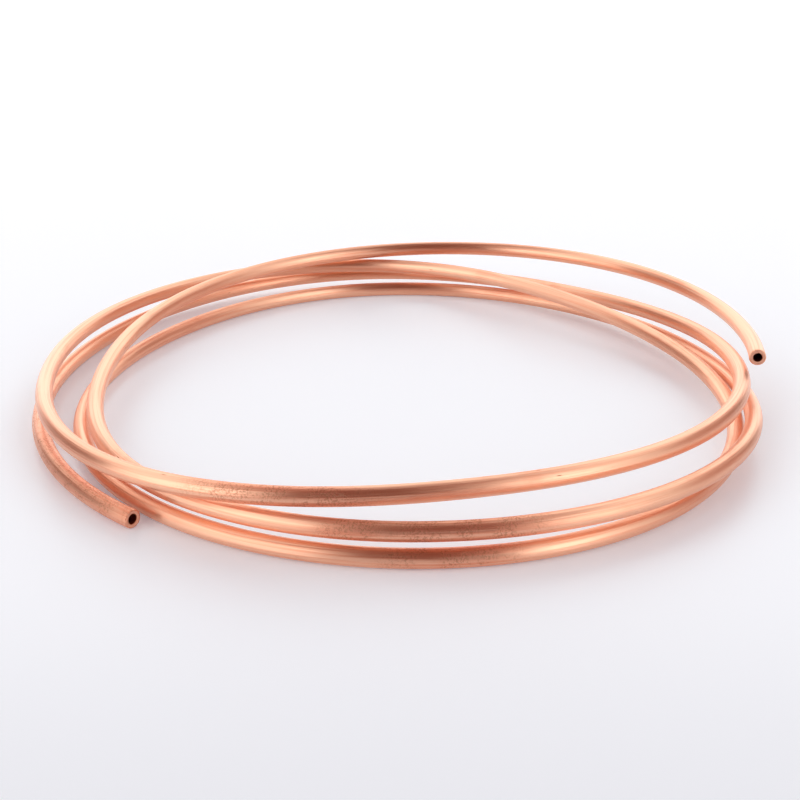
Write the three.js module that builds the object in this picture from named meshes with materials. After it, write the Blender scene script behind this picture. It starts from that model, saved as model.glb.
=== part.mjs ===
import * as THREE from "three";

// A length of soft copper tube, wound by hand into a loose coil of a little over three
// and a half turns. All sizes are in millimetres and +Z is up.

// The tube.
const tubeDiameter = 4;
const boreDiameter = 2.1;

// The coil: the radius of its centre line, and the least gap between two turns that cross.
const coilRadius = 84;
const restGap = 0.3;

// The compass angle of the lower end, seen from above, and how many turns run clockwise from it.
const startAngle = 233.4;
const turnCount = 3.67;

// One level is a tube and a gap: a turn at level 1 lies just on top of one at level 0.
const level = tubeDiameter + restGap;

// The way the tube was bent by hand, one row to a turn. The stations of a row are the front
// left, left, back left, back, back right, right, front right and front. The last station
// lies just past the raised end.
const stationsPerTurn = 8;

// How far each station lies outside the coil's radius, in levels.
const outward = [
  1.1, 0.5, 1.6, 4.1, -1.4, 0.0, 0.0, -2.3,
  1.5, -0.3, 2.3, 3.1, -4.3, -1.6, 0.9, 1.0,
  -0.1, -1.9, -2.2, 0.7, 0.0, -1.0, 2.0, 0.3,
  -0.2, -3.2, -1.6, 1.6, 3.9, 0.9, 0.4,
];

// How high each station lies above the floor, in levels.
const upward = [
  0.0, 0.0, 0.0, 0.4, 1.2, 2.0, 2.3, 2.3,
  2.1, 1.6, 1.3, 1.3, 2.0, 0.7, 0.0, 0.0,
  0.0, 0.0, 0.0, 0.0, 0.0, 0.5, 1.5, 1.1,
  1.0, 1.0, 1.9, 2.5, 2.7, 2.9, 3.0,
];

// The faces: steps along each turn, and sides round the tube and its bore.
const stepsPerTurn = 48;
const outerSides = 14;
const boreSides = 8;

// A station of a list. Past either end the last step is repeated.
function station(list, index) {
  const last = list.length - 1;
  if (index < 0) {
    return list[0] + index * (list[1] - list[0]);
  }
  if (index > last) {
    return list[last] + (index - last) * (list[last] - list[last - 1]);
  }
  return list[index];
}

// The value of a list this many turns along the tube, as a smooth spline.
function blend(list, turns) {
  const first = Math.floor(turns * stationsPerTurn);
  const u = turns * stationsPerTurn - first;
  const weights = [
    (1 - u) ** 3,
    3 * u ** 3 - 6 * u ** 2 + 4,
    -3 * u ** 3 + 3 * u ** 2 + 3 * u + 1,
    u ** 3,
  ];
  return weights.reduce((sum, weight, k) => sum + (weight / 6) * station(list, first - 1 + k), 0);
}

// The centre line of the tube, from its lower end on the floor to its raised end.
class CoilRoute extends THREE.Curve {
  getPoint(share, target = new THREE.Vector3()) {
    const turns = share * turnCount;
    const angle = THREE.MathUtils.degToRad(startAngle - 360 * turns);
    const radius = coilRadius + level * blend(outward, turns);
    const height = tubeDiameter / 2 + level * blend(upward, turns);
    return target.set(radius * Math.cos(angle), radius * Math.sin(angle), height);
  }
}

// A circle of straight sides about the centre line.
function circle(diameter, sides) {
  return Array.from({ length: sides }, (_, k) => {
    const angle = (k * 2 * Math.PI) / sides;
    return new THREE.Vector2(Math.cos(angle), Math.sin(angle)).multiplyScalar(diameter / 2);
  });
}

// The tube's section: a ring, with the bore open from end to end.
function ringSection() {
  const ring = new THREE.Shape(circle(tubeDiameter, outerSides));
  ring.holes.push(new THREE.Path(circle(boreDiameter, boreSides).reverse()));
  return ring;
}

// Moves a shape so that it stands on z = 0 with the middle of its box over the origin.
function standOnFloor(geometry) {
  geometry.computeBoundingBox();
  const box = geometry.boundingBox;
  const middle = box.getCenter(new THREE.Vector3());
  geometry.translate(-middle.x, -middle.y, -box.min.z);
}

function makeTube() {
  const tube = new THREE.ExtrudeGeometry(ringSection(), {
    steps: Math.round(stepsPerTurn * turnCount),
    extrudePath: new CoilRoute(),
  });
  standOnFloor(tube);
  const copper = new THREE.MeshStandardMaterial({
    name: "copper",
    color: 0xd98e6c,
    metalness: 1,
    roughness: 0.3,
  });
  const mesh = new THREE.Mesh(tube, copper);
  mesh.name = "copper_tube";
  return mesh;
}

const coil = new THREE.Group();
coil.name = "copper_tube_coil";
coil.add(makeTube());

export default coil;
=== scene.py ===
import math

import bpy
from bpy.props import FloatProperty, FloatVectorProperty, IntProperty, PointerProperty
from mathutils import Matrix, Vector


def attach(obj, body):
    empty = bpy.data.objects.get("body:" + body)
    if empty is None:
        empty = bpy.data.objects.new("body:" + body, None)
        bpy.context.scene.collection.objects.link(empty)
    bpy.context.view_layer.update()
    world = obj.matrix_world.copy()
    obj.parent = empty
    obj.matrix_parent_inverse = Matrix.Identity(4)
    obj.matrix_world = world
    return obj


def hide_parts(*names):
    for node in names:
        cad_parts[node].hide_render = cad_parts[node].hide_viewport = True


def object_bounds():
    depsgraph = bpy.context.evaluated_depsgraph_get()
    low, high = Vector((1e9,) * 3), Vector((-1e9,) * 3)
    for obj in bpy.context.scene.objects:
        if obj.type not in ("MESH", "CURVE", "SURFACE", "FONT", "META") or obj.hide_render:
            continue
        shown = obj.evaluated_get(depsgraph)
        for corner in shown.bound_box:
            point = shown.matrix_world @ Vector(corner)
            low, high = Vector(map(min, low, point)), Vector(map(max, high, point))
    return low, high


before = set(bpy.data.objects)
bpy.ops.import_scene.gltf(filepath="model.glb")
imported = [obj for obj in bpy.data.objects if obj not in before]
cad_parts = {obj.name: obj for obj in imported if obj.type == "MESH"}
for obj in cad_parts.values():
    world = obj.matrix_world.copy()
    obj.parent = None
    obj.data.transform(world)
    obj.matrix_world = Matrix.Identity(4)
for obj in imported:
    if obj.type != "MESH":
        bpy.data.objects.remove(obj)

bl_info = {
    "name": "Copper tube coil",
    "version": (1, 0, 0),
    "blender": (4, 5, 0),
    "location": "3D View > Sidebar > Copper",
    "description": "Makes a loose coil of soft copper tube and the studio it lies in",
    "category": "Object",
}

MM = 0.001
CAD_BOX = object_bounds()
TUBE_NODE = "copper_tube"
WHITE = (1.0, 1.0, 1.0, 1.0)


# ---------------------------------------------------------------- the numbers of the route

# The way the tube was bent by hand, one row to a turn. The stations of a row are the front
# left, left, back left, back, back right, right, front right and front. The last station
# lies just past the raised end.
STATIONS_PER_TURN = 8

# How far each station lies outside the coil's radius, in levels. A level is the height of
# one turn that rests on another.
OUTWARD = (
    1.1, 0.5, 1.6, 4.1, -1.4, 0.0, 0.0, -2.3,
    1.5, -0.3, 2.3, 3.1, -4.3, -1.6, 0.9, 1.0,
    -0.1, -1.9, -2.2, 0.7, 0.0, -1.0, 2.0, 0.3,
    -0.2, -3.2, -1.6, 1.6, 3.9, 0.9, 0.4,
)

# How high each station lies above the floor, in levels.
UPWARD = (
    0.0, 0.0, 0.0, 0.4, 1.2, 2.0, 2.3, 2.3,
    2.1, 1.6, 1.3, 1.3, 2.0, 0.7, 0.0, 0.0,
    0.0, 0.0, 0.0, 0.0, 0.0, 0.5, 1.5, 1.1,
    1.0, 1.0, 1.9, 2.5, 2.7, 2.9, 3.0,
)

# How many turns the tube makes from its lower end to its raised end.
TURN_COUNT = 3.67


# ---------------------------------------------------------------- the numbers of the tube

# Rings of faces that round each lip.
LIP_RINGS = 6
# Points closer than this are one point.
WELD = 0.002 * MM
# How quickly the tube sways to and fro, in units to the metre.
SWAY_SCALE = 22.0
# How closely the flats lie round the tube, how quickly they change along it in units to the
# metre, and how far from an end they start and are full.
FLATS_ROUND = 1.3
FLATS_ALONG = 16.0
FLATS_START = (1.0 * MM, 5.0 * MM)
# How fine the waver of the cut ends is, in units to the metre, and how far from an end it
# starts and is full.
CUT_WAVER_SCALE = 340.0
CUT_WAVER_START = (1.2 * MM, 0.1 * MM)
# What the tube's surfaces are marked with, and between which marks the copper tells them
# apart.
OUTER_SURFACE = 0.0
CUT_SURFACE = 0.5
BORE_SURFACE = 1.0
CUT_MARGIN = 0.2
BORE_FROM = 0.8


# ---------------------------------------------------------------- the numbers of the copper

# The lines of drawing: how many lie round the tube, and how quickly they change along it in
# units to the metre.
FINE_LINES = (8.0, 34.0)
COARSE_LINES = (3.2, 22.0)
# Between which values of their noise a line starts and is full.
LINE_STEP = (0.3, 0.7)
# How much fine and coarse lines count in the streaks.
FINE_STREAKS = 0.35
COARSE_STREAKS = 0.65
# How fine the grain of the cut faces is, in units to the metre.
CUT_GRAIN = 700.0

# Patches: how fine they are, in units to the metre, and how much of the copper they cover.
DULL_PATCHES = (45.0, 0.45)
RAGGED_PATCHES = (260.0, 0.8)
# Where in their noise patches of no cover start, how far down full cover takes that, and how
# wide their edges are.
PATCH_START = 0.72
PATCH_COVER = 0.4
PATCH_EDGE = 0.16
# How fine the specks of a scuff are, in units to the metre, and where in their noise they
# start and are full.
SPECK_SCALE = 2300.0
SPECK_STEP = (0.45, 0.6)

# The stretches that were scuffed by handling, and that also carry a painted dark reflection:
# how far along the tube the middle of each is, and how far it reaches to either side of that.
SCUFF_AND_DARK_REFLECTION_STRETCHES = (
    (38 * MM, 58 * MM),
    (513 * MM, 24 * MM),
    (1017 * MM, 17 * MM),
    (1537 * MM, 20 * MM),
    (1559 * MM, 8 * MM),
)
# The share of that reach in which a stretch is scuffed, and darkened by its painted dark
# reflection, in full.
STRETCH_FULL_SHARE = 0.4

# Nicks: how closely they may lie round the tube, how closely along it in units to the metre,
# and how far from the middle of one its edge and its floor are.
NICKS_ROUND = 0.7
NICKS_ALONG = 60.0
NICK_STEP = (0.05, 0.02)

# How far each kind of wear, and the painted dark reflection over the scuffed stretches, takes
# the colour from bright to aged copper. Streaks weaker than STREAK_MIDDLE take it the other
# way.
DULL_SHADE = 0.3
STREAK_MIDDLE = 0.45
STREAK_SHADE = 1.2
PAINTED_DARK_REFLECTION = 0.35
# How strongly scuffs and nicks take on the colour of marks.
SCUFF_MARKS = 0.36
NICK_MARKS = 0.8

# Roughness of clean copper, and what each kind of wear adds to it.
CLEAN_ROUGHNESS = 0.3
DULL_ROUGHNESS = 0.06
STREAK_ROUGHNESS = 0.1
SCUFF_ROUGHNESS = 0.2
# Roughness of the bore and of the cut faces.
BORE_ROUGHNESS = 0.55
CUT_ROUGHNESS = 0.85

# The fine relief: its depth, and how deep fine lines and scuffs are beside coarse lines.
RELIEF_DEPTH = 0.04 * MM
FINE_RELIEF = 0.35
SCUFF_RELIEF = 0.16
# A quarter turn, which spreads the highlights across the lines of drawing.
LINES_TURN = 0.25


# ---------------------------------------------------------------- the numbers of the studio

# The lit sheets of the light tent. Each has the side that its left and right edges are
# measured from, those edges and its foot and top in degrees, the softness of its sides in
# degrees, and its brightness.
TENT_SHEETS = (
    ("front", (-74, -29), (-4, 48), 4, 1.9),
    ("front", (-90, -66), (-4, 48), 5, 1.58),
    ("front", (33, 63), (-4, 44), 4, 2.2),
    ("front", (56, 88), (-4, 48), 10, 0.98),
    ("front", (84, 125), (-4, 40), 8, 0.48),
    ("back", (-41, 42), (-4, 46), 6, 1.5),
    ("back", (-44, 48), (24, 62), 8, 1.5),
    ("front", (-140, -30), (30, 66), 8, 1.12),
    ("front", (42, 150), (36, 66), 8, 1.12),
)
# How softly a sheet starts at its foot and ends at its top, in the sine of the height.
SHEET_FOOT_SOFT = 0.1
SHEET_TOP_SOFT = 0.15
# How bright the tent is between its lit sheets, and its colour there.
TENT_DIM = 0.2
TENT_DIM_COLOUR = (1.0, 0.36, 0.27, 1.0)
# The tent has that colour up to the first of these levels, and is white from the second.
TENT_WARM = (0.24, 0.94)
# Between which angles above the floor the white at the tent's foot fades out, in degrees.
TENT_FOOT = (2.6, 1.4)

FLOOR_ROUGHNESS = 0.36
# How far the floor lies below the CAD model's foot, so that the wavered tube clears it.
FLOOR_DROP = 0.04 * MM

# The point that the camera looks at, and how far its frame is shifted, in frame widths.
VIEW_CENTRE = Vector((-0.57, -3.95, 0.0)) * MM
VIEW_SHIFT = (3 / 800, -5 / 800)
SENSOR_WIDTH = 36.0
NEAREST_SEEN = 0.01
FARTHEST_SEEN = 50.0


# ---------------------------------------------------------------- sizes and colours to change


class TubeSizes(bpy.types.PropertyGroup):
    """The sizes of the tube and its coil."""

    tube_diameter: FloatProperty(
        name="Tube Diameter", description="Outside diameter of the tube",
        default=4.0 * MM, min=1.0 * MM, unit="LENGTH",
    )
    bore_diameter: FloatProperty(
        name="Bore Diameter", description="Inside diameter of the tube",
        default=2.1 * MM, min=0.5 * MM, unit="LENGTH",
    )
    coil_radius: FloatProperty(
        name="Coil Radius", description="Radius of the coil's centre line",
        default=84.0 * MM, min=20.0 * MM, unit="LENGTH",
    )
    rest_gap: FloatProperty(
        name="Rest Gap", description="Least gap between two turns that cross",
        default=0.3 * MM, min=0.0, unit="LENGTH",
    )
    start_angle: FloatProperty(
        name="Start Angle", description="Compass angle of the lower end, seen from above",
        default=math.radians(233.4), subtype="ANGLE",
    )
    lip_round: FloatProperty(
        name="Lip Round", description="Radius of the rounded outer edges of the cut ends",
        default=0.24 * MM, min=0.02 * MM, unit="LENGTH",
    )
    mouth_share: FloatProperty(
        name="Mouth Share",
        description="How round the bore's mouth is, as a share of Lip Round",
        default=0.4, min=0.0, max=1.0,
    )
    cut_waver: FloatProperty(
        name="Cut Waver", description="How far the cut ends stray from true",
        default=0.16 * MM, min=0.0, unit="LENGTH",
    )
    flats: FloatProperty(
        name="Flats", description="Depth of the slight flats along the tube",
        default=0.04 * MM, min=0.0, unit="LENGTH",
    )
    waver: FloatProperty(
        name="Waver", description="How far the hand-bent tube strays from its smooth line",
        default=0.05 * MM, min=0.0, unit="LENGTH",
    )
    steps_per_turn: IntProperty(
        name="Steps per Turn", description="Rings of faces in one turn",
        default=240, min=24,
    )
    outer_sides: IntProperty(
        name="Outer Sides", description="Faces round the outside of the tube",
        default=40, min=12,
    )
    bore_sides: IntProperty(
        name="Bore Sides", description="Faces round the bore",
        default=20, min=8,
    )


class CopperFinish(bpy.types.PropertyGroup):
    """The colours and wear of the copper."""

    bright: FloatVectorProperty(
        name="Bright Copper", description="Clean drawn copper",
        subtype="COLOR", default=(0.97, 0.54, 0.36), min=0.0, max=1.0,
    )
    aged: FloatVectorProperty(
        name="Aged Copper", description="Copper that has dulled a little in the air",
        subtype="COLOR", default=(0.87, 0.325, 0.195), min=0.0, max=1.0,
    )
    marks: FloatVectorProperty(
        name="Marks", description="The dark specks of scuffs and the floors of small nicks",
        subtype="COLOR", default=(0.42, 0.15, 0.08), min=0.0, max=1.0,
    )
    cut: FloatVectorProperty(
        name="Cut Copper", description="The freshly cut faces of the ends",
        subtype="COLOR", default=(0.95, 0.63, 0.48), min=0.0, max=1.0,
    )
    bore: FloatVectorProperty(
        name="Bore Copper", description="The unpolished inside of the tube",
        subtype="COLOR", default=(0.72, 0.32, 0.19), min=0.0, max=1.0,
    )
    drawn_lines: FloatProperty(
        name="Drawn Lines",
        description="How strongly the lines of drawing spread the highlights",
        default=0.8, min=0.0, max=1.0,
    )


class StudioSetup(bpy.types.PropertyGroup):
    """The floor and the camera."""

    floor_colour: FloatVectorProperty(
        name="Floor Colour", description="The pale sheet that the coil lies on",
        subtype="COLOR", default=(0.855, 0.905, 0.945), min=0.0, max=1.0,
    )
    near_glow: FloatVectorProperty(
        name="Near Glow",
        description="The light that shows through the sheet in front of the coil",
        subtype="COLOR", default=(0.045, 0.065, 0.09), min=0.0, max=1.0,
    )
    far_glow: FloatVectorProperty(
        name="Far Glow",
        description="The light that shows through the sheet behind the coil",
        subtype="COLOR", default=(0.125, 0.145, 0.17), min=0.0, max=1.0,
    )
    glow_front: FloatProperty(
        name="Glow Front", description="Where the light through the sheet starts to grow",
        default=-170.0 * MM, unit="LENGTH",
    )
    glow_back: FloatProperty(
        name="Glow Back", description="Where the light through the sheet is full",
        default=-90.0 * MM, unit="LENGTH",
    )
    edge_glow: FloatVectorProperty(
        name="Edge Glow",
        description="The light that shows through the sheet far from the coil",
        subtype="COLOR", default=(0.5, 0.5, 0.5), min=0.0, max=1.0,
    )
    edge_start: FloatProperty(
        name="Edge Start",
        description="How far from the middle the sheet starts to fade to white",
        default=260.0 * MM, unit="LENGTH",
    )
    edge_end: FloatProperty(
        name="Edge End", description="How far from the middle the sheet is white",
        default=0.9, unit="LENGTH",
    )
    floor_size: FloatProperty(
        name="Floor Size", description="Side of the square floor",
        default=8.0, min=1.0, unit="LENGTH",
    )
    view_elevation: FloatProperty(
        name="View Elevation", description="How high the camera looks down from",
        default=math.radians(22.0), subtype="ANGLE",
    )
    view_distance: FloatProperty(
        name="View Distance", description="From the camera to the middle of the coil",
        default=315.0 * MM, min=0.05, unit="LENGTH",
    )
    lens: FloatProperty(
        name="Lens", description="Focal length on a 36 mm wide sensor, in millimetres",
        default=55.8, min=10.0,
    )


# ---------------------------------------------------------------- the route of the tube


def station(values, index):
    """A station of a list. Past either end the last step is repeated."""
    last = len(values) - 1
    if index < 0:
        return values[0] + index * (values[1] - values[0])
    if index > last:
        return values[last] + (index - last) * (values[last] - values[last - 1])
    return values[index]


def blend(values, turns):
    """The value of a list this many turns along the tube, as a cubic B-spline."""
    first = math.floor(turns * STATIONS_PER_TURN)
    u = turns * STATIONS_PER_TURN - first
    weights = (
        (1 - u) ** 3,
        3 * u**3 - 6 * u**2 + 4,
        -3 * u**3 + 3 * u**2 + 3 * u + 1,
        u**3,
    )
    return sum(w / 6 * station(values, first - 1 + k) for k, w in enumerate(weights))


def route_point(sizes, turns):
    """A point of the tube's centre line."""
    level = sizes.tube_diameter + sizes.rest_gap
    angle = sizes.start_angle - 2 * math.pi * turns
    radius = sizes.coil_radius + level * blend(OUTWARD, turns)
    height = sizes.tube_diameter / 2 + level * blend(UPWARD, turns)
    return Vector((radius * math.cos(angle), radius * math.sin(angle), height))


def lip_shares(sizes, length):
    """Extra rings close to an end, as shares of the length, so that its lip is round."""
    angles = [k * math.pi / (2 * LIP_RINGS) for k in range(LIP_RINGS + 1)]
    return [sizes.lip_round * (1 - math.cos(angle)) / length for angle in angles]


def route_points(sizes):
    """The centre line from the lower end to the raised end, centred in the CAD model's box."""
    steps = round(sizes.steps_per_turn * TURN_COUNT)
    rough = [route_point(sizes, TURN_COUNT * k / steps) for k in range(steps + 1)]
    length = sum((b - a).length for a, b in zip(rough, rough[1:]))
    lips = lip_shares(sizes, length)
    shares = lips + [k / steps for k in range(1, steps)] + [1 - s for s in reversed(lips)]
    points = [route_point(sizes, TURN_COUNT * s) for s in shares]
    low = [min(p[axis] for p in points) for axis in range(3)]
    high = [max(p[axis] for p in points) for axis in range(3)]
    middle = (CAD_BOX[0] + CAD_BOX[1]) / 2
    shift = Vector((
        middle.x - (low[0] + high[0]) / 2,
        middle.y - (low[1] + high[1]) / 2,
        CAD_BOX[0].z + sizes.tube_diameter / 2 - low[2],
    ))
    return [p + shift for p in points]


# ---------------------------------------------------------------- node helpers


class NodeBuilder:
    """Adds nodes to a tree and links their sockets."""

    # How the nodes are laid out: how many stand in a column, and how far apart they stand.
    COLUMN_NODES = 5
    COLUMN_WIDTH = 220
    ROW_HEIGHT = 200

    def __init__(self, tree):
        self.tree = tree

    def add(self, kind, inputs=None, **settings):
        """A new node, set up first and then fed."""
        node = self.tree.nodes.new(kind)
        for name, value in settings.items():
            setattr(node, name, value)
        for key, value in (inputs or {}).items():
            self.feed(node.inputs[key], value)
        return node

    def feed(self, socket, value):
        """Links a socket to another node's output, or sets its own value."""
        if isinstance(value, bpy.types.NodeSocket):
            self.tree.links.new(value, socket)
        else:
            socket.default_value = value

    def math(self, operation, *values):
        inputs = dict(enumerate(values))
        return self.add("ShaderNodeMath", inputs, operation=operation).outputs[0]

    def vector_math(self, operation, *values):
        inputs = dict(enumerate(values))
        return self.add("ShaderNodeVectorMath", inputs, operation=operation).outputs[0]

    def scaled(self, vector, scale):
        inputs = {0: vector, "Scale": scale}
        return self.add("ShaderNodeVectorMath", inputs, operation="SCALE").outputs[0]

    def combine(self, x, y, z):
        return self.add("ShaderNodeCombineXYZ", {0: x, 1: y, 2: z}).outputs[0]

    def close(self, result, kind="NodeGroupOutput"):
        """Links the result to the tree's output, and puts the nodes in columns."""
        self.add(kind, {0: result})
        for index, node in enumerate(self.tree.nodes):
            column, row = divmod(index, self.COLUMN_NODES)
            node.location = (column * self.COLUMN_WIDTH, -row * self.ROW_HEIGHT)


def group_nodes(name, kind, inputs, output):
    """Starts a node group. Its sockets are given by name and kind."""
    tree = bpy.data.node_groups.new(name, kind)
    for label, socket_type in inputs:
        tree.interface.new_socket(name=label, in_out="INPUT", socket_type=socket_type)
    label, socket_type = output
    tree.interface.new_socket(name=label, in_out="OUTPUT", socket_type=socket_type)
    return NodeBuilder(tree)


def owned_nodes(owner):
    """Starts the tree of a material or a world afresh."""
    owner.use_nodes = True
    owner.node_tree.nodes.clear()
    return NodeBuilder(owner.node_tree)


def soft_step(nodes, value, start, end):
    """Rises softly from 0 at start to 1 at end, or falls where end is the smaller."""
    return nodes.add("ShaderNodeMapRange", {
        "Value": value, "From Min": start, "From Max": end,
    }, interpolation_type="SMOOTHSTEP").outputs[0]


# The sockets of a mix for each kind of value: its two inputs and its output.
MIX_SOCKETS = {"FLOAT": (2, 3, 0), "VECTOR": (4, 5, 1), "RGBA": (6, 7, 2)}


def mixed(nodes, kind, factor, first, second):
    """The first value where the factor is 0, and the second where it is 1."""
    start, end, result = MIX_SOCKETS[kind]
    inputs = {0: factor, start: first, end: second}
    return nodes.add("ShaderNodeMix", inputs, data_type=kind).outputs[result]


def with_alpha(colour):
    return (*colour, 1.0)


# ---------------------------------------------------------------- the tube's shape

TUBE_INPUTS = (
    ("Route", "NodeSocketGeometry"),
    ("Outer Radius", "NodeSocketFloat"),
    ("Bore Radius", "NodeSocketFloat"),
    ("Lip Round", "NodeSocketFloat"),
    ("Mouth Share", "NodeSocketFloat"),
    ("Cut Waver", "NodeSocketFloat"),
    ("Flats", "NodeSocketFloat"),
    ("Waver", "NodeSocketFloat"),
    ("Outer Sides", "NodeSocketInt"),
    ("Bore Sides", "NodeSocketInt"),
    ("Copper", "NodeSocketMaterial"),
)


def named_value(nodes, geometry, name, value, kind="FLOAT"):
    """Stores a value on the points of a geometry under a name that the copper reads."""
    return nodes.add("GeometryNodeStoreNamedAttribute", {
        "Geometry": geometry, "Name": name, "Value": value,
    }, domain="POINT", data_type=kind).outputs[0]


def read_value(nodes, name, kind="FLOAT"):
    """A value that was stored on the geometry under a name."""
    node = nodes.add("GeometryNodeInputNamedAttribute", {"Name": name}, data_type=kind)
    return node.outputs["Attribute"]


def position(nodes):
    return nodes.add("GeometryNodeInputPosition").outputs[0]


def moved(nodes, geometry, offset):
    """A geometry with its points moved by an offset."""
    return nodes.add("GeometryNodeSetPosition", {
        "Geometry": geometry, "Offset": offset,
    }).outputs[0]


def flipped(nodes, mesh):
    return nodes.add("GeometryNodeFlipFaces", {"Mesh": mesh}).outputs[0]


def circle(nodes, sides, radius):
    ring = nodes.add("GeometryNodeCurvePrimitiveCircle", {
        "Resolution": sides, "Radius": radius,
    }, mode="RADIUS")
    return ring.outputs["Curve"]


def joined(nodes, parts):
    """Several geometries as one."""
    node = nodes.add("GeometryNodeJoinGeometry")
    for part in parts:
        nodes.tree.links.new(part, node.inputs[0])
    return node.outputs[0]


def centred_noise(nodes, noise):
    """The three values of a noise, moved so that they lie about 0."""
    return nodes.vector_math("SUBTRACT", noise.outputs["Color"], (0.5, 0.5, 0.5))


def wall(nodes, route, sides, radius, surface):
    """One wall of the tube: a ring carried along the route, at the radius it has there."""
    ring = circle(nodes, sides, 1.0)
    profile = named_value(nodes, ring, "round_place", position(nodes), "FLOAT_VECTOR")
    swept = nodes.add("GeometryNodeCurveToMesh", {
        "Curve": route, "Profile Curve": profile, "Scale": radius, "Fill Caps": False,
    })
    return named_value(nodes, swept.outputs[0], "surface", surface)


def measured_route(nodes, given, along, to_end):
    """The route of the tube, with what the copper reads stored along it."""
    # It wavers slightly, as soft tube does after it is wound by hand.
    line = nodes.add("GeometryNodeMeshToCurve", {"Mesh": given["Route"]}).outputs[0]
    sway = nodes.add("ShaderNodeTexNoise", {
        "W": along, "Scale": SWAY_SCALE, "Detail": 1.0,
    }, noise_dimensions="1D")
    swayed = moved(nodes, line, nodes.scaled(centred_noise(nodes, sway), given["Waver"]))
    level = nodes.add("GeometryNodeSetCurveNormal", {"Curve": swayed}, mode="Z_UP").outputs[0]
    heading = nodes.add("GeometryNodeInputTangent").outputs[0]
    route = named_value(nodes, level, "along", along)
    route = named_value(nodes, route, "drawn_way", heading, "FLOAT_VECTOR")
    return named_value(nodes, route, "to_end", to_end)


def build_tube_tree():
    """The tube: two walls along a route, and a ring of copper across each end."""
    nodes = group_nodes("tube along a route", "GeometryNodeTree", TUBE_INPUTS,
                        ("Tube", "NodeSocketGeometry"))
    nodes.tree.is_modifier = True
    given = nodes.add("NodeGroupInput").outputs

    along = nodes.add("GeometryNodeSplineParameter").outputs["Length"]
    length = nodes.add("GeometryNodeSplineLength").outputs["Length"]
    to_end = nodes.math("MINIMUM", along, nodes.math("SUBTRACT", length, along))
    route = measured_route(nodes, given, along, to_end)

    # How far the lip and the mouth are rounded away at each place along the tube.
    lip = given["Lip Round"]
    into_lip = nodes.math("MAXIMUM", nodes.math("SUBTRACT", lip, to_end), 0.0)
    squared = nodes.math("SUBTRACT", nodes.math("MULTIPLY", lip, lip),
                         nodes.math("MULTIPLY", into_lip, into_lip))
    flat = nodes.math("SQRT", nodes.math("MAXIMUM", squared, 0.0))
    rounded = nodes.math("SUBTRACT", lip, flat)
    opened = nodes.math("MULTIPLY", rounded, given["Mouth Share"])

    outer_radius = nodes.math("SUBTRACT", given["Outer Radius"], rounded)
    outer = wall(nodes, route, given["Outer Sides"], outer_radius, OUTER_SURFACE)
    outer = flattened(nodes, outer, given["Flats"])
    bore_radius = nodes.math("ADD", given["Bore Radius"], opened)
    bore = flipped(nodes, wall(nodes, route, given["Bore Sides"], bore_radius, BORE_SURFACE))
    ends = [end_face(nodes, route, given, raised) for raised in (False, True)]

    closed = nodes.add("GeometryNodeMergeByDistance", {
        "Geometry": joined(nodes, [outer, bore, *ends]), "Distance": WELD,
    })
    cut = wavered_ends(nodes, closed.outputs[0], given["Cut Waver"])
    smooth = nodes.add("GeometryNodeSetShadeSmooth", {"Geometry": cut, "Shade Smooth": True})
    real = nodes.add("GeometryNodeRealizeInstances", {"Geometry": smooth.outputs[0]})
    finished = nodes.add("GeometryNodeSetMaterial", {
        "Geometry": real.outputs[0], "Material": given["Copper"],
    })
    nodes.close(finished.outputs[0])
    return nodes.tree


def flattened(nodes, tube, depth):
    """The slight flats and dips that run along drawn tube, fading out before its ends."""
    place = nodes.scaled(read_value(nodes, "round_place", "FLOAT_VECTOR"), FLATS_ROUND)
    along = nodes.math("MULTIPLY", read_value(nodes, "along"), FLATS_ALONG)
    noise = nodes.add("ShaderNodeTexNoise", {
        "Vector": nodes.vector_math("ADD", place, nodes.combine(0.0, 0.0, along)),
        "Scale": 1.0, "Detail": 1.0,
    })
    inside = soft_step(nodes, read_value(nodes, "to_end"), *FLATS_START)
    # The noise runs from 0 to 1, and the wall moves by up to the depth, in or out.
    height = nodes.math("MULTIPLY", nodes.math("SUBTRACT", noise.outputs["Fac"], 0.5), depth)
    height = nodes.math("MULTIPLY", nodes.math("MULTIPLY", height, 2.0), inside)
    outward = nodes.add("GeometryNodeInputNormal").outputs[0]
    return moved(nodes, tube, nodes.scaled(outward, height))


def wavered_ends(nodes, tube, amount):
    """Cut ends that are a little out of true, as a hand cutter leaves them."""
    noise = nodes.add("ShaderNodeTexNoise", {
        "Vector": position(nodes), "Scale": CUT_WAVER_SCALE, "Detail": 0.0,
    })
    near = soft_step(nodes, read_value(nodes, "to_end"), *CUT_WAVER_START)
    reach = nodes.math("MULTIPLY", nodes.math("MULTIPLY", near, amount), 2.0)
    return moved(nodes, tube, nodes.scaled(centred_noise(nodes, noise), reach))


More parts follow.
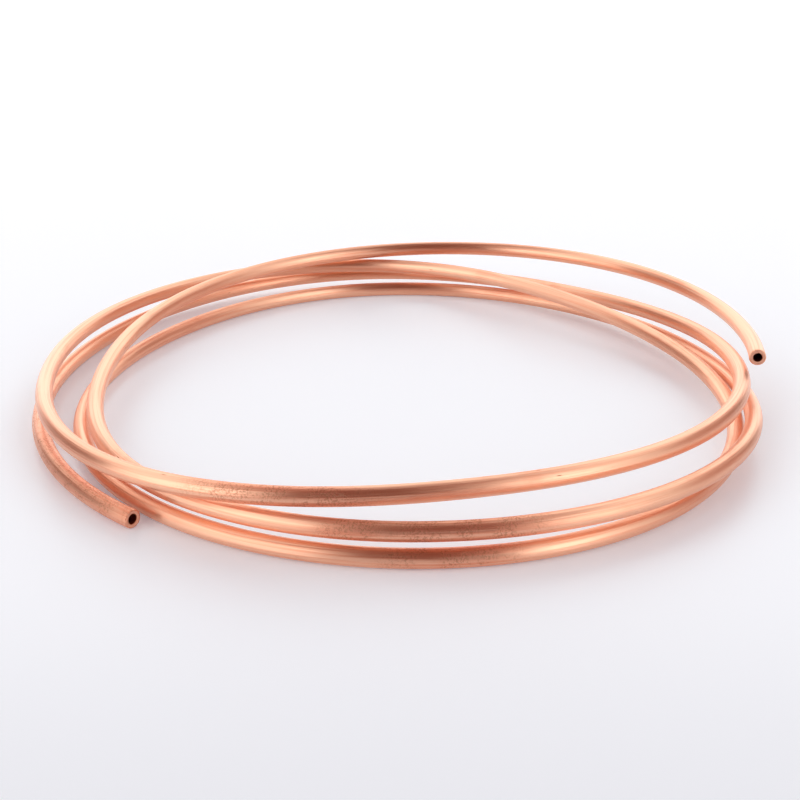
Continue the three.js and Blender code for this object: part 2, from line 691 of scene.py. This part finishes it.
def end_face(nodes, route, given, raised):
    """The ring of copper across the lower or the raised cut end, facing out of the tube."""
    rim_radius = nodes.math("SUBTRACT", given["Outer Radius"], given["Lip Round"])
    mouth_round = nodes.math("MULTIPLY", given["Lip Round"], given["Mouth Share"])
    mouth_radius = nodes.math("ADD", given["Bore Radius"], mouth_round)
    rim = circle(nodes, given["Outer Sides"], rim_radius)
    mouth = circle(nodes, given["Bore Sides"], mouth_radius)
    filled = nodes.add("GeometryNodeFillCurve", {"Curve": joined(nodes, [rim, mouth])})
    place = position(nodes)
    ring_place = nodes.scaled(place, nodes.math("DIVIDE", 1.0, given["Outer Radius"]))
    face = named_value(nodes, filled.outputs[0], "round_place", ring_place, "FLOAT_VECTOR")
    face = named_value(nodes, face, "surface", CUT_SURFACE)

    # The end's own axes: the curve's normal, its binormal and its tangent.
    sample = nodes.add("GeometryNodeSampleCurve", {
        "Curves": route, "Factor": 1.0 if raised else 0.0,
    }, mode="FACTOR").outputs
    normal = sample["Normal"]
    face = named_value(nodes, face, "drawn_way", normal, "FLOAT_VECTOR")
    binormal = nodes.vector_math("CROSS_PRODUCT", sample["Tangent"], normal)
    parts = nodes.add("ShaderNodeSeparateXYZ", {0: place}).outputs
    across = nodes.scaled(normal, parts[0])
    upright = nodes.scaled(binormal, parts[1])
    from_middle = nodes.vector_math("ADD", across, upright)
    target = nodes.vector_math("ADD", sample["Position"], from_middle)
    placed = nodes.add("GeometryNodeSetPosition", {
        "Geometry": face, "Position": target,
    }).outputs[0]
    return placed if raised else flipped(nodes, placed)


# ---------------------------------------------------------------- the copper


def drawn_streaks_group():
    """Fine lines along the tube, left by the die that it was drawn through."""
    nodes = group_nodes("drawn streaks", "ShaderNodeTree", (
        ("Along", "NodeSocketFloat"),
        ("Round", "NodeSocketVector"),
        ("Lines", "NodeSocketFloat"),
        ("Breaks", "NodeSocketFloat"),
    ), ("Streaks", "NodeSocketFloat"))
    given = nodes.add("NodeGroupInput").outputs
    spread = nodes.scaled(given["Round"], given["Lines"])
    breaks = nodes.math("MULTIPLY", given["Along"], given["Breaks"])
    noise = nodes.add("ShaderNodeTexNoise", {
        "Vector": nodes.vector_math("ADD", spread, nodes.combine(0.0, 0.0, breaks)),
        "Scale": 1.0, "Detail": 3.0, "Roughness": 0.55,
    })
    nodes.close(soft_step(nodes, noise.outputs["Fac"], *LINE_STEP))
    return nodes.tree


def patches_group():
    """Soft patches with broken edges, for dull and scuffed places."""
    nodes = group_nodes("dull patches", "ShaderNodeTree", (
        ("Place", "NodeSocketVector"),
        ("Scale", "NodeSocketFloat"),
        ("Cover", "NodeSocketFloat"),
    ), ("Patches", "NodeSocketFloat"))
    given = nodes.add("NodeGroupInput").outputs
    noise = nodes.add("ShaderNodeTexNoise", {
        "Vector": given["Place"], "Scale": given["Scale"], "Detail": 5.0, "Roughness": 0.62,
    })
    covered = nodes.math("MULTIPLY", given["Cover"], PATCH_COVER)
    start = nodes.math("SUBTRACT", PATCH_START, covered)
    end = nodes.math("ADD", start, PATCH_EDGE)
    nodes.close(soft_step(nodes, noise.outputs["Fac"], start, end))
    return nodes.tree


def drawn_streaks(nodes, tree, along, place, lines, breaks):
    """One set of the lines of drawing."""
    group = nodes.add("ShaderNodeGroup", node_tree=tree)
    for name, value in (("Along", along), ("Round", place), ("Lines", lines),
                        ("Breaks", breaks)):
        nodes.feed(group.inputs[name], value)
    return group.outputs["Streaks"]


def patches(nodes, tree, place, scale, cover):
    """One set of patches."""
    group = nodes.add("ShaderNodeGroup", node_tree=tree)
    for name, value in (("Place", place), ("Scale", scale), ("Cover", cover)):
        nodes.feed(group.inputs[name], value)
    return group.outputs["Patches"]


def stretches_of_scuffs_and_dark_reflection(nodes, along):
    """One inside each stretch that is scuffed and carries a painted dark reflection, fading to
    none at its ends.
    """
    cover = 0.0
    for middle, reach in SCUFF_AND_DARK_REFLECTION_STRETCHES:
        away = nodes.math("ABSOLUTE", nodes.math("SUBTRACT", along, middle))
        stretch = soft_step(nodes, away, reach, STRETCH_FULL_SHARE * reach)
        cover = nodes.math("MAXIMUM", cover, stretch)
    return cover


def scuffs(nodes, place, scuff_and_dark_reflection, ragged):
    """Specks that fill the ragged patches of the scuffed stretches."""
    specks = nodes.add("ShaderNodeTexNoise", {
        "Vector": place, "Scale": SPECK_SCALE, "Detail": 1.5, "Roughness": 0.7,
    })
    speckled = soft_step(nodes, specks.outputs["Fac"], *SPECK_STEP)
    return nodes.math("MULTIPLY", nodes.math("MULTIPLY", scuff_and_dark_reflection, speckled), ragged)


def small_nicks(nodes, along, ring_place):
    """Sparse short nicks that lie along the tube."""
    spread = nodes.scaled(ring_place, NICKS_ROUND)
    length = nodes.combine(0.0, 0.0, nodes.math("MULTIPLY", along, NICKS_ALONG))
    cells = nodes.add("ShaderNodeTexVoronoi", {
        "Vector": nodes.vector_math("ADD", spread, length), "Scale": 1.0,
    })
    return soft_step(nodes, cells.outputs["Distance"], *NICK_STEP)


def attribute(nodes, name, output):
    """A value that was stored on the tube under a name."""
    return nodes.add("ShaderNodeAttribute", attribute_name=name).outputs[output]


def copper_material(finish):
    """Drawn copper: streaked along its length, a little dulled, with an unpolished bore."""
    material = bpy.data.materials.new("drawn copper")
    nodes = owned_nodes(material)
    along = attribute(nodes, "along", "Fac")
    surface = attribute(nodes, "surface", "Fac")
    ring_place = attribute(nodes, "round_place", "Vector")
    place = nodes.add("ShaderNodeTexCoord").outputs["Object"]
    is_cut = nodes.math("COMPARE", surface, CUT_SURFACE, CUT_MARGIN)
    is_bore = nodes.math("GREATER_THAN", surface, BORE_FROM)

    # Across a cut face the lines of drawing give way to the even grain of the cut.
    grain = nodes.scaled(place, CUT_GRAIN)
    lined = mixed(nodes, "VECTOR", is_cut, ring_place, grain)
    streak_tree = drawn_streaks_group()
    fine = drawn_streaks(nodes, streak_tree, along, lined, *FINE_LINES)
    coarse = drawn_streaks(nodes, streak_tree, along, lined, *COARSE_LINES)
    streaks = nodes.math("ADD", nodes.math("MULTIPLY", fine, FINE_STREAKS),
                         nodes.math("MULTIPLY", coarse, COARSE_STREAKS))

    patch_tree = patches_group()
    dull = patches(nodes, patch_tree, place, *DULL_PATCHES)
    ragged = patches(nodes, patch_tree, place, *RAGGED_PATCHES)
    scuff_and_dark_reflection = stretches_of_scuffs_and_dark_reflection(nodes, along)
    scuffed = scuffs(nodes, place, scuff_and_dark_reflection, ragged)
    nicks = small_nicks(nodes, along, ring_place)

    dulled = nodes.math("MULTIPLY", dull, DULL_SHADE)
    streaked = nodes.math("SUBTRACT", streaks, STREAK_MIDDLE)
    shade = nodes.math("ADD", dulled, nodes.math("MULTIPLY", streaked, STREAK_SHADE))
    # The scuffed stretches are also darkened all round: a painted dark reflection.
    shade = nodes.math("ADD", shade, nodes.math("MULTIPLY", scuff_and_dark_reflection, PAINTED_DARK_REFLECTION))
    marked = nodes.math("MAXIMUM", nodes.math("MULTIPLY", scuffed, SCUFF_MARKS),
                        nodes.math("MULTIPLY", nicks, NICK_MARKS))
    bright, aged, marks, cut, bore = (with_alpha(colour) for colour in (
        finish.bright, finish.aged, finish.marks, finish.cut, finish.bore))
    colour = mixed(nodes, "RGBA", shade, bright, aged)
    colour = mixed(nodes, "RGBA", marked, colour, marks)
    colour = mixed(nodes, "RGBA", is_cut, colour, cut)
    colour = mixed(nodes, "RGBA", is_bore, colour, bore)

    roughness = CLEAN_ROUGHNESS
    for wear, added in ((dull, DULL_ROUGHNESS), (streaks, STREAK_ROUGHNESS),
                        (scuffed, SCUFF_ROUGHNESS)):
        roughness = nodes.math("ADD", roughness, nodes.math("MULTIPLY", wear, added))
    roughness = mixed(nodes, "FLOAT", is_bore, roughness, BORE_ROUGHNESS)
    roughness = mixed(nodes, "FLOAT", is_cut, roughness, CUT_ROUGHNESS)

    relief = nodes.math("ADD", nodes.math("MULTIPLY", fine, FINE_RELIEF), coarse)
    relief = nodes.math("SUBTRACT", relief, nodes.math("MULTIPLY", scuffed, SCUFF_RELIEF))
    relief = nodes.math("SUBTRACT", relief, nicks)
    bump = nodes.add("ShaderNodeBump", {
        "Strength": 1.0, "Distance": RELIEF_DEPTH, "Height": relief,
    })

    # The fine lines of the drawing die run along the tube and spread its highlights round it.
    way = nodes.add("ShaderNodeVectorTransform", {0: attribute(nodes, "drawn_way", "Vector")},
                    vector_type="VECTOR", convert_from="OBJECT", convert_to="WORLD")
    shader = nodes.add("ShaderNodeBsdfPrincipled", {
        "Base Color": colour, "Roughness": roughness, "Metallic": 1.0,
        "Anisotropic": finish.drawn_lines, "Anisotropic Rotation": LINES_TURN,
        "Tangent": way.outputs[0], "Normal": bump.outputs[0],
    })
    nodes.close(shader.outputs[0], "ShaderNodeOutputMaterial")
    return material


# ---------------------------------------------------------------- making meshes


def plain_mesh(name, points, edges=(), faces=()):
    """A mesh object of these points, edges and faces, linked to the scene."""
    mesh = bpy.data.meshes.new(name)
    mesh.from_pydata([tuple(p) for p in points], edges, faces)
    made = bpy.data.objects.new(name, mesh)
    bpy.context.scene.collection.objects.link(made)
    return made


def give_inputs(modifier, tree, values):
    """Sets a modifier's inputs by the identifiers of their sockets."""
    for item in tree.interface.items_tree:
        if item.item_type == "SOCKET" and item.in_out == "INPUT" and item.name in values:
            modifier[item.identifier] = values[item.name]


def baked(made):
    """Turns the evaluated object into a plain mesh, and drops its modifier and empty slots."""
    graph = bpy.context.evaluated_depsgraph_get()
    mesh = bpy.data.meshes.new_from_object(made.evaluated_get(graph))
    for index in reversed(range(len(mesh.materials))):
        if mesh.materials[index] is None:
            mesh.materials.pop(index=index)
    made.modifiers.clear()
    made.data = mesh
    return made


def make_tube(sizes, finish):
    """The finished tube, as one plain mesh."""
    points = route_points(sizes)
    tube = plain_mesh("soft_copper_tube", points, [(k, k + 1) for k in range(len(points) - 1)])
    tree = build_tube_tree()
    modifier = tube.modifiers.new("tube", "NODES")
    modifier.node_group = tree
    give_inputs(modifier, tree, {
        "Outer Radius": sizes.tube_diameter / 2,
        "Bore Radius": sizes.bore_diameter / 2,
        "Lip Round": sizes.lip_round,
        "Mouth Share": sizes.mouth_share,
        "Cut Waver": sizes.cut_waver,
        "Flats": sizes.flats,
        "Waver": sizes.waver,
        "Outer Sides": sizes.outer_sides,
        "Bore Sides": sizes.bore_sides,
        "Copper": copper_material(finish),
    })
    return baked(tube)


# ---------------------------------------------------------------- the studio


def floor_material(setup):
    """A pale sheet that keeps the coil's shadow and fades to white far from the coil."""
    material = bpy.data.materials.new("pale sheet")
    nodes = owned_nodes(material)
    sheet = nodes.add("ShaderNodeBsdfPrincipled", {
        "Base Color": with_alpha(setup.floor_colour), "Roughness": FLOOR_ROUGHNESS,
    })
    place = nodes.add("ShaderNodeTexCoord").outputs["Object"]
    parts = nodes.add("ShaderNodeSeparateXYZ", {0: place}).outputs
    away = nodes.add("ShaderNodeVectorMath", {0: place}, operation="LENGTH").outputs["Value"]
    near, far, edge = (with_alpha(colour) for colour in (
        setup.near_glow, setup.far_glow, setup.edge_glow))
    depth = soft_step(nodes, parts[1], setup.glow_front, setup.glow_back)
    glow = mixed(nodes, "RGBA", depth, near, far)
    to_edge = soft_step(nodes, away, setup.edge_start, setup.edge_end)
    glow = mixed(nodes, "RGBA", to_edge, glow, edge)
    path = nodes.add("ShaderNodeLightPath").outputs
    mirrored = nodes.math("MAXIMUM", path["Is Glossy Ray"], path["Is Transmission Ray"])
    seen = nodes.math("MAXIMUM", path["Is Camera Ray"], mirrored)
    backlight = nodes.add("ShaderNodeEmission", {"Color": glow, "Strength": seen})
    both = nodes.add("ShaderNodeAddShader", {0: sheet.outputs[0], 1: backlight.outputs[0]})
    nodes.close(both.outputs[0], "ShaderNodeOutputMaterial")
    return material


def make_floor(setup):
    """The square floor."""
    half = setup.floor_size / 2
    z = CAD_BOX[0].z - FLOOR_DROP
    corners = [(-half, -half, z), (half, -half, z), (half, half, z), (-half, half, z)]
    floor = plain_mesh("studio_floor", corners, faces=[(0, 1, 2, 3)])
    floor.data.materials.append(floor_material(setup))


def sine(degrees):
    return math.sin(math.radians(degrees))


def tent_sheet(nodes, turn, height, sides, heights, edge, level):
    """A lit sheet of the tent, by the turn and the sine of the height of a direction."""
    left, right = (math.radians(side) for side in sides)
    edge = math.radians(edge)
    foot, top = (sine(angle) for angle in heights)
    masks = (
        soft_step(nodes, turn, left - edge, left + edge),
        soft_step(nodes, turn, right + edge, right - edge),
        soft_step(nodes, height, foot - SHEET_FOOT_SOFT, foot + SHEET_FOOT_SOFT),
        soft_step(nodes, height, top + SHEET_TOP_SOFT, top - SHEET_TOP_SOFT),
    )
    lit = masks[0]
    for mask in masks[1:]:
        lit = nodes.math("MULTIPLY", lit, mask)
    return nodes.math("MULTIPLY", lit, level)


def make_world():
    """A light tent: lit sheets left, right, behind and above, and a dim slot in front."""
    world = bpy.data.worlds.new("light tent")
    bpy.context.scene.world = world
    nodes = owned_nodes(world)
    direction = nodes.add("ShaderNodeTexCoord").outputs["Generated"]
    right, inward, height = nodes.add("ShaderNodeSeparateXYZ", {0: direction}).outputs
    turns = {
        "front": nodes.math("ARCTAN2", right, nodes.math("MULTIPLY", inward, -1.0)),
        "back": nodes.math("ARCTAN2", nodes.math("MULTIPLY", right, -1.0), inward),
    }
    level = TENT_DIM
    for side, edges, heights, softness, brightness in TENT_SHEETS:
        lit = tent_sheet(nodes, turns[side], height, edges, heights, softness, brightness)
        level = nodes.math("MAXIMUM", level, lit)

    # Looked at, the tent is white all round. The copper mirrors its sheets, and the white
    # where it meets the floor.
    path = nodes.add("ShaderNodeLightPath").outputs
    foot = soft_step(nodes, height, *(sine(angle) for angle in TENT_FOOT))
    mirrored = nodes.math("MULTIPLY", path["Is Glossy Ray"], foot)
    seen = nodes.math("MAXIMUM", path["Is Camera Ray"], path["Is Transmission Ray"])
    level = nodes.math("MAXIMUM", level, nodes.math("MAXIMUM", seen, mirrored))
    lit_share = soft_step(nodes, level, *TENT_WARM)
    tint = mixed(nodes, "RGBA", lit_share, TENT_DIM_COLOUR, WHITE)
    background = nodes.add("ShaderNodeBackground", {"Color": tint, "Strength": level})
    nodes.close(background.outputs[0], "ShaderNodeOutputWorld")


def make_camera(setup):
    """The camera, which looks down on the coil from the front."""
    data = bpy.data.cameras.new("camera")
    data.lens = setup.lens
    data.sensor_width = SENSOR_WIDTH
    data.clip_start = NEAREST_SEEN
    data.clip_end = FARTHEST_SEEN
    data.shift_x, data.shift_y = VIEW_SHIFT
    camera = bpy.data.objects.new("camera", data)
    elevation = setup.view_elevation
    back = Vector((0.0, -math.cos(elevation), math.sin(elevation)))
    camera.location = VIEW_CENTRE + back * setup.view_distance
    camera.rotation_euler = (-back).to_track_quat("-Z", "Y").to_euler()
    bpy.context.scene.collection.objects.link(camera)
    bpy.context.scene.camera = camera


# ---------------------------------------------------------------- operators and panel


class OBJECT_OT_copper_tube(bpy.types.Operator):
    """Make the hollow copper tube along its hand-bent route"""

    bl_idname = "object.copper_tube"
    bl_label = "Copper Tube"

    def execute(self, context):
        tube = make_tube(context.scene.tube_sizes, context.scene.copper_finish)
        if not tube.data.polygons:
            raise RuntimeError("the tube has no faces")
        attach(tube, "root")
        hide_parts(TUBE_NODE)
        return {"FINISHED"}


class OBJECT_OT_copper_studio(bpy.types.Operator):
    """Make the pale floor, the light tent and the camera"""

    bl_idname = "object.copper_studio"
    bl_label = "Studio"

    def execute(self, context):
        setup = context.scene.studio_setup
        make_floor(setup)
        make_world()
        make_camera(setup)
        context.scene.view_settings.view_transform = "Standard"
        return {"FINISHED"}


class VIEW3D_PT_copper_coil(bpy.types.Panel):
    """Sizes, finish and studio of the copper tube coil"""

    bl_label = "Copper Tube Coil"
    bl_space_type = "VIEW_3D"
    bl_region_type = "UI"
    bl_category = "Copper"

    def draw(self, context):
        scene = context.scene
        for group in (scene.tube_sizes, scene.copper_finish, scene.studio_setup):
            box = self.layout.box()
            for name in group.__annotations__:
                box.prop(group, name)
        self.layout.operator(OBJECT_OT_copper_tube.bl_idname)
        self.layout.operator(OBJECT_OT_copper_studio.bl_idname)


CLASSES = (
    TubeSizes,
    CopperFinish,
    StudioSetup,
    OBJECT_OT_copper_tube,
    OBJECT_OT_copper_studio,
    VIEW3D_PT_copper_coil,
)


def register():
    for cls in CLASSES:
        bpy.utils.register_class(cls)
    bpy.types.Scene.tube_sizes = PointerProperty(type=TubeSizes)
    bpy.types.Scene.copper_finish = PointerProperty(type=CopperFinish)
    bpy.types.Scene.studio_setup = PointerProperty(type=StudioSetup)


def unregister():
    del bpy.types.Scene.studio_setup
    del bpy.types.Scene.copper_finish
    del bpy.types.Scene.tube_sizes
    for cls in reversed(CLASSES):
        bpy.utils.unregister_class(cls)


def main():
    register()
    bpy.ops.object.copper_tube()
    bpy.ops.object.copper_studio()


if __name__ == "__main__":
    main()
